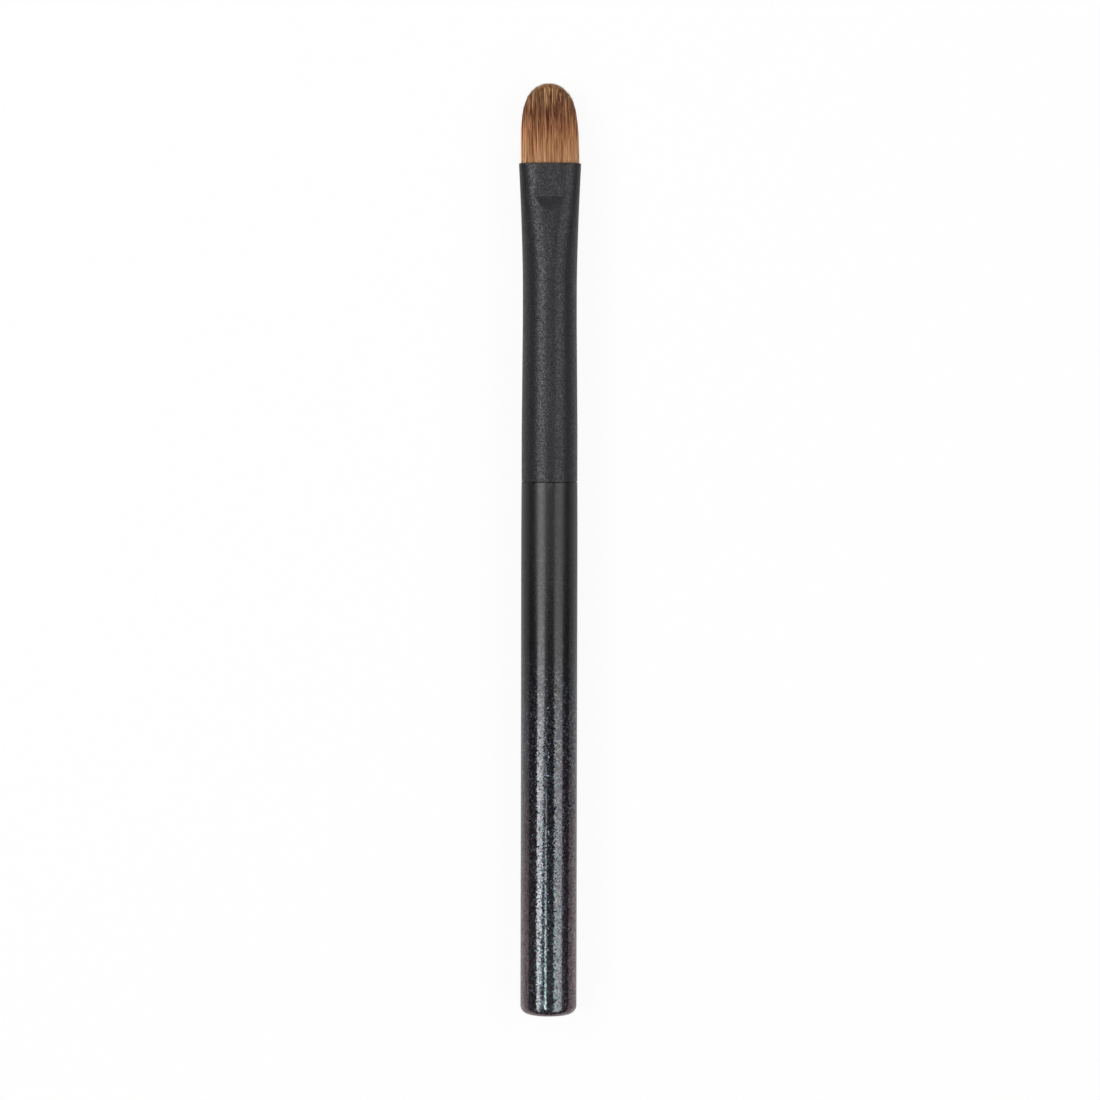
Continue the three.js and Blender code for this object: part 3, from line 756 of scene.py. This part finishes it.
# %% Lacquer along the handle
GLITTER_STARTS = 0.24
GLITTER_FULL = 0.5
PEARL_STARTS = 0.38
PEARL_FULL = 0.9
GLOSS_STARTS = 0.05
GLOSS_FULL = 0.6
SATIN_ROUGHNESS = 0.335
GLOSSY_ROUGHNESS = 0.06
lacquer, tree, shader, place = new_material("pearl_black_lacquer")
along = add_node(tree, "ShaderNodeSeparateXYZ", {"Vector": place}).outputs["Y"]
below_seam = map_range(tree, along, butt_y, shoulder_y, 1.0, 0.0)
glitter_ends = (GLITTER_STARTS, GLITTER_FULL, 0.0, 1.0)
glitter = map_range(tree, below_seam, *glitter_ends, interpolation_type="SMOOTHSTEP")
pearl = map_range(tree, below_seam, PEARL_STARTS, PEARL_FULL, 0.0, 1.0)
gloss_ends = (GLOSS_STARTS, GLOSS_FULL, SATIN_ROUGHNESS, GLOSSY_ROUGHNESS)
lacquer_rough = map_range(tree, below_seam, *gloss_ends, interpolation_type="SMOOTHSTEP")
lacquer_colour = ramp(
    tree,
    below_seam,
    [(0.0, srgb(25, 24, 25)), (0.35, srgb(20, 19, 20)), (0.6, srgb(27, 22, 24)), (0.95, srgb(36, 25, 32))],
)
print("lacquer with its masks:", len(tree.nodes), "nodes")

# %% [markdown]
# Every cell of the grain is a flake. Most lie deep and nearly flat and tint the lacquer, from nearly
# black to grey. A few are bright: they mirror like metal and lie more tilted, so they sparkle outside the
# bright bands too. Gloss and roughness also change from flake to flake, which gives the bands their
# grain.

# %% Pearl flakes
FLAKES_PER_METRE = 4600.0
BRIGHT_SHARE = 0.15
BRIGHT_TILT = 0.16
FLAKE_TILT = 0.055
DEEP_TINT = 0.8
FLAKE_SCATTER = 0.18
SMOOTHEST_FLAKE = 0.84
ROUGHEST_FLAKE = 1.16
PLAIN_GLOSS = 0.2
red, _, _, _ = grain_cells(tree, place, FLAKES_PER_METRE, 0.0)
bright_flake = math_node(tree, "LESS_THAN", red, math_node(tree, "MULTIPLY", glitter, BRIGHT_SHARE))
flat_tilt = math_node(tree, "MULTIPLY", glitter, FLAKE_TILT)
tilt = math_node(tree, "MULTIPLY_ADD", bright_flake, BRIGHT_TILT, third=flat_tilt)
_, green, blue, flake_normal = grain_cells(tree, place, FLAKES_PER_METRE, tilt)
bright_tint = ramp(
    tree,
    green,
    [(0.0, srgb(70, 76, 88)), (0.4, srgb(94, 97, 108)), (0.7, srgb(84, 80, 100)), (1.0, srgb(72, 86, 94))],
)
deep_tint = ramp(
    tree,
    red,
    [(0.0, srgb(4, 4, 5)), (0.5, srgb(28, 23, 30)), (0.8, srgb(45, 45, 56)), (1.0, srgb(98, 106, 120))],
)
deep_colour = mix_colours(tree, math_node(tree, "MULTIPLY", glitter, DEEP_TINT), lacquer_colour, deep_tint)
body_colour = mix_colours(tree, bright_flake, deep_colour, bright_tint)
tree.links.new(body_colour, shader.inputs["Base Color"])
tree.links.new(bright_flake, shader.inputs["Metallic"])
tree.links.new(flake_normal, shader.inputs["Normal"])
scatter = math_node(tree, "MULTIPLY", glitter, math_node(tree, "POWER", blue, 3.0))
flake_rough = map_range(tree, green, 0.0, 1.0, SMOOTHEST_FLAKE, ROUGHEST_FLAKE)
uneven = math_node(tree, "MULTIPLY", lacquer_rough, flake_rough)
body_rough = math_node(tree, "MULTIPLY_ADD", scatter, FLAKE_SCATTER, third=uneven)
tree.links.new(body_rough, shader.inputs["Roughness"])
gloss_share = map_range(tree, glitter, 0.0, 1.0, PLAIN_GLOSS, 1.0)
flake_gloss = math_node(tree, "MULTIPLY", math_node(tree, "POWER", red, 3.0), gloss_share)
tree.links.new(flake_gloss, shader.inputs["Coat Weight"])
shader.inputs["Coat Roughness"].default_value = 0.12
shader.inputs["Coat IOR"].default_value = 2.0
print("lacquer with its flakes:", len(tree.nodes), "nodes")

# %% [markdown]
# A pearl flake is a thin clear film: light from its two faces interferes, so it looks teal when seen
# square on and plum at a slant. The shader's own thin film gives that colour change. The light's path in
# the film, which is its index times its thickness, sets the colour, and the index sets how strong it is.
# Both differ from flake to flake. Where the film's index is the lacquer's own, it does not show, so the
# colour grows with the pearl mask.

# %% Film of the pearl flakes
LACQUER_IOR = 1.68
FILM_IOR_LEAST = 0.3
FILM_IOR_SPREAD = 0.8
SHORT_FILM_PATH = 1426.0
LONG_FILM_PATH = 1478.0
film_inputs = {"Vector": place, "Scale": FLAKES_PER_METRE}
film_cells = add_node(tree, "ShaderNodeTexVoronoi", film_inputs).outputs["Color"]
film_parts = add_node(tree, "ShaderNodeSeparateColor", {"Color": film_cells}).outputs
film_above = math_node(tree, "MULTIPLY_ADD", film_parts["Green"], FILM_IOR_SPREAD, third=FILM_IOR_LEAST)
film_ior = math_node(tree, "MULTIPLY_ADD", pearl, film_above, third=LACQUER_IOR)
film_path = map_range(tree, film_parts["Blue"], 0.0, 1.0, SHORT_FILM_PATH, LONG_FILM_PATH)
shader.inputs["IOR"].default_value = LACQUER_IOR
tree.links.new(film_ior, shader.inputs["Thin Film IOR"])
tree.links.new(math_node(tree, "DIVIDE", film_path, film_ior), shader.inputs["Thin Film Thickness"])
dress(handle, lacquer)

# %% [markdown]
# Hair colour follows the tuft: light sandy brown where it leaves the ferrule, reddish brown above, and
# golden at the tip. Each hair's tone makes it lighter or darker than its neighbour, which is what draws
# the fine streaks. So one ramp gives the colour by height, another a factor by tone, and the two are
# multiplied.

# %% Hair colour
hair_material, tree, shader, _ = new_material("brown_hair")
strand = add_node(tree, "ShaderNodeUVMap", uv_map="strand").outputs["UV"]
strand_parts = add_node(tree, "ShaderNodeSeparateXYZ", {"Vector": strand}).outputs
height_colour = ramp(
    tree,
    strand_parts["Y"],
    [
        (0.0, srgb(150, 105, 66)),
        (0.11, srgb(241, 189, 136)),
        (0.3, srgb(232, 171, 118)),
        (0.5, srgb(197, 132, 86)),
        (0.68, srgb(163, 106, 67)),
        (0.84, srgb(174, 123, 83)),
        (1.0, srgb(233, 176, 120)),
    ],
)
tone_factor = ramp(
    tree,
    strand_parts["X"],
    [
        (0.0, (0.3, 0.11, 0.02)),
        (0.25, (0.64, 0.48, 0.34)),
        (0.5, (1.0, 1.0, 1.0)),
        (0.93, (1.75, 2.1, 2.45)),
        # The top stop, nearly white, colours the painted glints that stand in for lamp highlights on the
        # tips.
        (0.98, (2.7, 3.3, 3.9)),
    ],
)
hair_colour = mix_colours(tree, 1.0, height_colour, tone_factor, blend_type="MULTIPLY")
tree.links.new(hair_colour, shader.inputs["Base Color"])
shader.inputs["Roughness"].default_value = 0.45
for piece in hair_pieces:
    dress(piece, hair_material)

# %% [markdown]
# Thread, resin and glue are inside the ferrule. They keep their solids and get simple mottled finishes,
# so that they look right if the brush is ever taken apart.

# %% Inside pieces
MOTTLES_PER_METRE = 900.0
INSIDE = {
    "binding_thread": (srgb(221, 211, 192), srgb(190, 176, 150), 0.8),
    "root_resin": (srgb(200, 165, 96), srgb(168, 128, 64), 0.3),
    "tenon_glue": (srgb(224, 214, 184), srgb(204, 190, 150), 0.6),
}
for node_name, (light, dark, roughness) in INSIDE.items():
    finish, tree, shader, place = new_material(node_name)
    mottle_inputs = {"Vector": place, "Scale": MOTTLES_PER_METRE, "Detail": 3.0}
    mottle = add_node(tree, "ShaderNodeTexNoise", mottle_inputs).outputs["Fac"]
    tree.links.new(ramp(tree, mottle, [(0.3, dark), (0.7, light)]), shader.inputs["Base Color"])
    shader.inputs["Roughness"].default_value = roughness
    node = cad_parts[node_name]
    node.data.materials.clear()
    dress(node, finish)

# %% [markdown]
# The table is white. What the camera sees of it is mostly its own glow, so that the picture's ground is
# white and still keeps a little of the brush's shadow. A glossy surface sees less of that glow: a strip
# along the brush that fades out three centimetres away, and beyond it only the white that the lamps
# light. That is what draws the pale rims down both sides of the brush.

# %% Table
TABLE_REACH = 3.0
TABLE_WHITE = 0.88
SEEN_GLOW = 1.05
SEEN_GLOW_SHARE = 0.88
STRIP_GLOW = 0.65
STRIP_GLOW_SHARE = 0.4
STRIP_NEAR = 6 * MM
STRIP_FAR = 30 * MM
table_corners = [(TABLE_REACH * x, TABLE_REACH * y, 0) for x, y in ((-1, -1), (1, -1), (1, 1), (-1, 1))]
table_mesh = bpy.data.meshes.new("table")
table_mesh.from_pydata(table_corners, [], [(0, 1, 2, 3)])
table = bpy.data.objects.new("table", table_mesh)
scene.collection.objects.link(table)

white, tree, shader, place = new_material("white_table")
shader.inputs["Base Color"].default_value = (TABLE_WHITE, TABLE_WHITE, TABLE_WHITE, 1)
shader.inputs["Roughness"].default_value = 0.9
shader.inputs["Specular IOR Level"].default_value = 0.0
rays = add_node(tree, "ShaderNodeLightPath").outputs
seen = rays["Is Camera Ray"]
reflected = math_node(tree, "MAXIMUM", rays["Is Glossy Ray"], rays["Is Transmission Ray"])
seen_share = math_node(tree, "MULTIPLY", seen, SEEN_GLOW_SHARE)
glow_share = math_node(tree, "MULTIPLY_ADD", reflected, STRIP_GLOW_SHARE, third=seen_share)
sideways = add_node(tree, "ShaderNodeSeparateXYZ", {"Vector": place}).outputs["X"]
from_brush = math_node(tree, "ABSOLUTE", sideways)
strip_ends = (STRIP_NEAR, STRIP_FAR, STRIP_GLOW, 0.0)
strip_glow = map_range(tree, from_brush, *strip_ends, interpolation_type="SMOOTHSTEP")
seen_glow = math_node(tree, "MULTIPLY", seen, SEEN_GLOW)
glow_strength = math_node(tree, "MULTIPLY_ADD", reflected, strip_glow, third=seen_glow)
glow = add_node(tree, "ShaderNodeEmission", {"Strength": glow_strength}).outputs["Emission"]
both_inputs = {0: glow_share, 1: shader.outputs["BSDF"], 2: glow}
both = add_node(tree, "ShaderNodeMixShader", both_inputs).outputs["Shader"]
tree.links.new(both, tree.nodes["Material Output"].inputs["Surface"])
dress(table, white)

# %% [markdown]
# Two large softboxes stand left and right of the camera and draw the two bright bands that run down the
# brush. A round handle shows each lamp at twice the angle of its surface. So a panel's outline is a list
# of corners, each an angle from straight up, seen from the brush, and a place along it. That makes it
# easy to move a band to where it should be.

# %% Softboxes
LAMP_DISTANCE = 0.75
LOW_END = -0.9
HIGH_END = 0.6
RADIANCE_UNIT = 10.0


def softbox(name, centre_angle, outline, radiance, outer_share=1.0):
    """A flat glowing panel, square to a line from the brush at an angle from straight up. A corner at
    another angle lies across the panel by the distance times the tangent of the angles' difference. Its
    radiance is given at places along the brush, and falls to a share of that at the panel's outer
    edge."""
    angles, places = np.array(outline).T
    centre = math.radians(centre_angle)
    across_panel = LAMP_DISTANCE * np.tan(np.radians(angles) - centre)
    x = LAMP_DISTANCE * math.sin(centre) + across_panel * math.cos(centre)
    z = axis_z + LAMP_DISTANCE * math.cos(centre) - across_panel * math.sin(centre)
    mesh = bpy.data.meshes.new(name)
    mesh.from_pydata(np.stack([x, places, z], axis=-1).tolist(), [], [list(range(len(outline)))])
    panel = bpy.data.objects.new(name, mesh)
    scene.collection.objects.link(panel)
    panel.visible_camera = False
    glow, tree, _, place = new_material(name)
    where = add_node(tree, "ShaderNodeSeparateXYZ", {"Vector": place}).outputs
    along = map_range(tree, where["Y"], LOW_END, HIGH_END, 0.0, 1.0)
    shares = [(y - LOW_END) / (HIGH_END - LOW_END) for y, _ in radiance]
    greys = [(value / RADIANCE_UNIT,) * 3 for _, value in radiance]
    inner, outer = sorted((x.min(), x.max()), key=abs)
    fall = map_range(tree, where["X"], inner, outer, RADIANCE_UNIT, RADIANCE_UNIT * outer_share)
    strength = math_node(tree, "MULTIPLY", ramp(tree, along, list(zip(shares, greys))), fall)
    emission = add_node(tree, "ShaderNodeEmission", {"Strength": strength}).outputs["Emission"]
    tree.links.new(emission, tree.nodes["Material Output"].inputs["Surface"])
    dress(panel, glow)


# %% [markdown]
# The left softbox is the brighter one. Its inner edge comes nearest to straight up at the middle of the
# brush and draws away towards the butt, which narrows the band there. The right one is wider, and dimmer
# towards its outer edge.

# %% Left and right softbox
left_outer = [(-53, HIGH_END), (-53, 0.02), (-45, -0.02), (-47, -0.05), (-50, -0.15), (-50, LOW_END)]
left_inner = [(-46, LOW_END), (-36, -0.2), (-25.8, -0.134), (-19.6, -0.094), (-17, -0.05), (-17, 0.04)]
left_inner += [(-20, 0.09), (-20, HIGH_END)]
left_radiance = [(-0.21, 2.1), (-0.14, 2.95), (-0.09, 3.35), (-0.074, 3.3), (-0.05, 2.35), (-0.035, 1.75)]
left_radiance += [(-0.015, 1.75), (0.02, 3.15), (0.06, 3.05), (0.12, 2.15)]
softbox("softbox_left", -36, left_outer + left_inner, left_radiance)

right_outer = [(56, LOW_END), (56, -0.02), (65, 0.03), (65, HIGH_END)]
right_inner = [(26, HIGH_END), (26, 0.06), (21.8, -0.02), (21.8, LOW_END)]
right_radiance = [(-0.21, 1.35), (-0.14, 1.6), (-0.09, 1.85), (-0.074, 1.85), (-0.05, 1.35), (-0.02, 1.2)]
right_radiance += [(0.02, 1.5)]
softbox("softbox_right", 39.75, right_outer + right_inner, right_radiance, outer_share=0.7)

# %% [markdown]
# Near the butt the lacquer is glossy enough to show small lamps clearly. A slim panel draws a thin bright
# line beside the left band, and a very dim one lifts the black between the bands.

# %% Slim and middle panel
slim_outline = [(-17.5, -0.26), (-11.5, -0.26), (-7.3, -0.1), (-12.5, -0.1)]
softbox("softbox_slim", -12.5, slim_outline, [(-0.26, 7.2), (-0.1, 0.05)])
middle_outline = [(-9, -0.4), (20, -0.4), (20, -0.08), (-6, -0.08)]
softbox("softbox_middle", 5, middle_outline, [(-0.22, 0.13), (-0.08, 0.0)])

# %% [markdown]
# An overhead lamp beyond the tip lights the hair and the pressed flat from above. An area light's power
# is its radiance times pi times its area, so the radiance is the value that is set here.

# %% Overhead lamp
OVERHEAD_SIZE = 0.26
OVERHEAD_RADIANCE = 1.45
OVERHEAD_ALONG = 0.19
overhead_data = bpy.data.lights.new("overhead", "AREA")
overhead_data.shape = "SQUARE"
overhead_data.size = OVERHEAD_SIZE
overhead_data.energy = OVERHEAD_RADIANCE * math.pi * OVERHEAD_SIZE**2
overhead = bpy.data.objects.new("overhead", overhead_data)
overhead.location = (0, OVERHEAD_ALONG, axis_z + LAMP_DISTANCE)
scene.collection.objects.link(overhead)
print(f"overhead lamp: {overhead_data.energy:.3f} W")

# %% [markdown]
# The room itself is nearly dark, a little lighter upwards, so that the black brush stays black between
# the bands. The camera sees it white all the same, because in a low view the backdrop shows behind the
# table.

# %% Room light
ROOM_LEVEL = 0.05
ROOM_TOP = 0.1
world = bpy.data.worlds.new("studio")
world.use_nodes = True
scene.world = world
sky = world.node_tree
direction = add_node(sky, "ShaderNodeTexCoord").outputs["Generated"]
upward = add_node(sky, "ShaderNodeSeparateXYZ", {"Vector": direction}).outputs["Z"]
room = map_range(sky, upward, 0.0, 1.0, ROOM_LEVEL, ROOM_TOP)
backdrop = add_node(sky, "ShaderNodeLightPath").outputs["Is Camera Ray"]
background = sky.nodes["Background"]
background.inputs["Color"].default_value = (1.0, 1.0, 1.0, 1)
sky.links.new(math_node(sky, "MAXIMUM", backdrop, room), background.inputs["Strength"])
print(f"room light from {ROOM_LEVEL} at the horizon to {ROOM_TOP} overhead")
